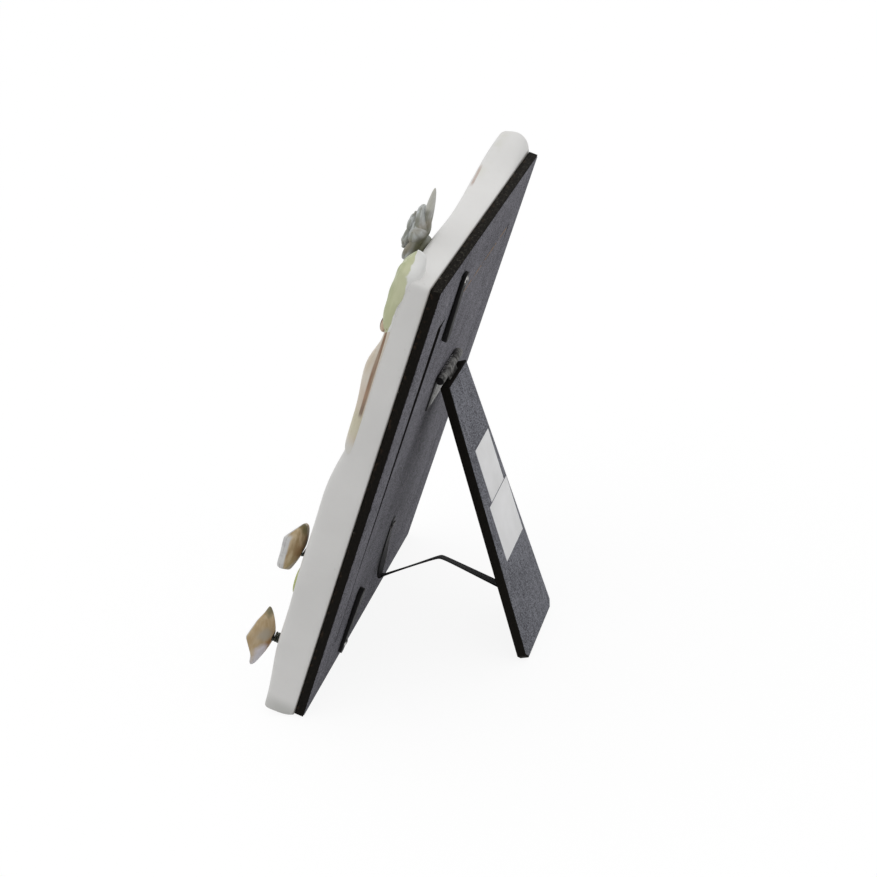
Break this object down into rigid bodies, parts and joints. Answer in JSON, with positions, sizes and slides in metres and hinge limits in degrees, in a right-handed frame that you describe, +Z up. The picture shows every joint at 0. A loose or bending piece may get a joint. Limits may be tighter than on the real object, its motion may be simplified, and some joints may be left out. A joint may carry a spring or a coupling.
{
  "type": "tabletop photo frame",
  "caption": "Tabletop photo frame with a white cast surround, painted blossoms, a flocked fibreboard back with a latched door, and a hinged easel leg held by a ribbon.",
  "frame": {"origin": "middle of the back board's rear lower edge, on the table", "axes": "+Z up, +Y out of the back towards the leg, +X towards the side with the ornaments"},
  "size_m": [0.157, 0.1136, 0.2251],
  "materials": {
    "cast_white": "satin white glazed casting",
    "leaf_green": "satin hand-painted green",
    "petal_ivory": "satin hand-painted ivory with brown edges",
    "blossom_sage": "satin hand-painted sage grey",
    "glass": "clear polished",
    "print_paper": "plain pale print paper",
    "card": "plain board",
    "board_black": "fibreboard with black painted edges",
    "back_paper": "flocked dark grey paper",
    "black_metal": "black enamelled strip",
    "rivet_steel": "dark plated rivet",
    "hinge_steel": "bright plated sheet",
    "leg_facing": "flocked grey paper",
    "ribbon_black": "woven black tape",
    "staple_steel": "bright wire",
    "sticker_white": "bare white paper",
    "spring_steel": "dark spring wire",
    "flower_tan": "satin hand-painted tan and ivory"
  },
  "bodies": {
    "frame": {"frame_casting": "cast_white", "corner_leaf": "leaf_green", "petal_relief": "petal_ivory", "side_leaf": "leaf_green", "top_blossom": "blossom_sage", "glass_pane": "glass", "print_insert": "print_paper", "backing_card": "card", "backing_board": "board_black", "board_paper": "back_paper", "door_panel": "board_black", "door_paper": "back_paper", "turn_button_rivets": "rivet_steel", "door_hinge_leaf": "hinge_steel", "hinge_pin": "black_metal", "door_hinge_rivets": "rivet_steel", "stay_ribbon": "ribbon_black", "door_staple": "staple_steel", "upper_spring": "spring_steel", "lower_spring": "spring_steel"},
    "leg": {"leg_hinge_leaf": "hinge_steel", "leg_hinge_rivets": "rivet_steel", "easel_leg": "board_black", "leg_paper": "leg_facing", "leg_staple": "staple_steel", "upper_sticker": "sticker_white", "lower_sticker": "sticker_white"},
    "turn_button_top": {"turn_button_top": "black_metal"},
    "turn_button_bottom": {"turn_button_bottom": "black_metal"},
    "upper_flower": {"upper_flower": "flower_tan"},
    "lower_flower": {"lower_flower": "flower_tan"}
  },
  "joints": [
    {"name": "leg_fold", "type": "hinge", "parent": "frame", "child": "leg", "pos_m": [0, 0.05514, 0.13034], "axis": [1, 0, 0], "range_deg": [-30, 0], "deforming": ["stay_ribbon"]},
    {"name": "top_button_turn", "type": "hinge", "parent": "frame", "child": "turn_button_top", "pos_m": [0.035, 0.07566, 0.1846], "axis": [0, 0.9272, -0.3746], "continuous": true},
    {"name": "bottom_button_turn", "type": "hinge", "parent": "frame", "child": "turn_button_bottom", "pos_m": [0.035, 0.00561, 0.01121], "axis": [0, 0.9272, -0.3746], "continuous": true},
    {"name": "upper_flower_nod", "type": "hinge", "parent": "frame", "child": "upper_flower", "pos_m": [0.0655, 0.00735, 0.07479], "axis": [1, 0, 0], "range_deg": [-14, 14], "stiffness_Nm_per_rad": 0.02, "deforming": ["upper_spring"]},
    {"name": "lower_flower_nod", "type": "hinge", "parent": "frame", "child": "lower_flower", "pos_m": [0.0655, -0.01029, 0.03115], "axis": [1, 0, 0], "range_deg": [-18, 18], "stiffness_Nm_per_rad": 0.02, "deforming": ["lower_spring"]}
  ]
}
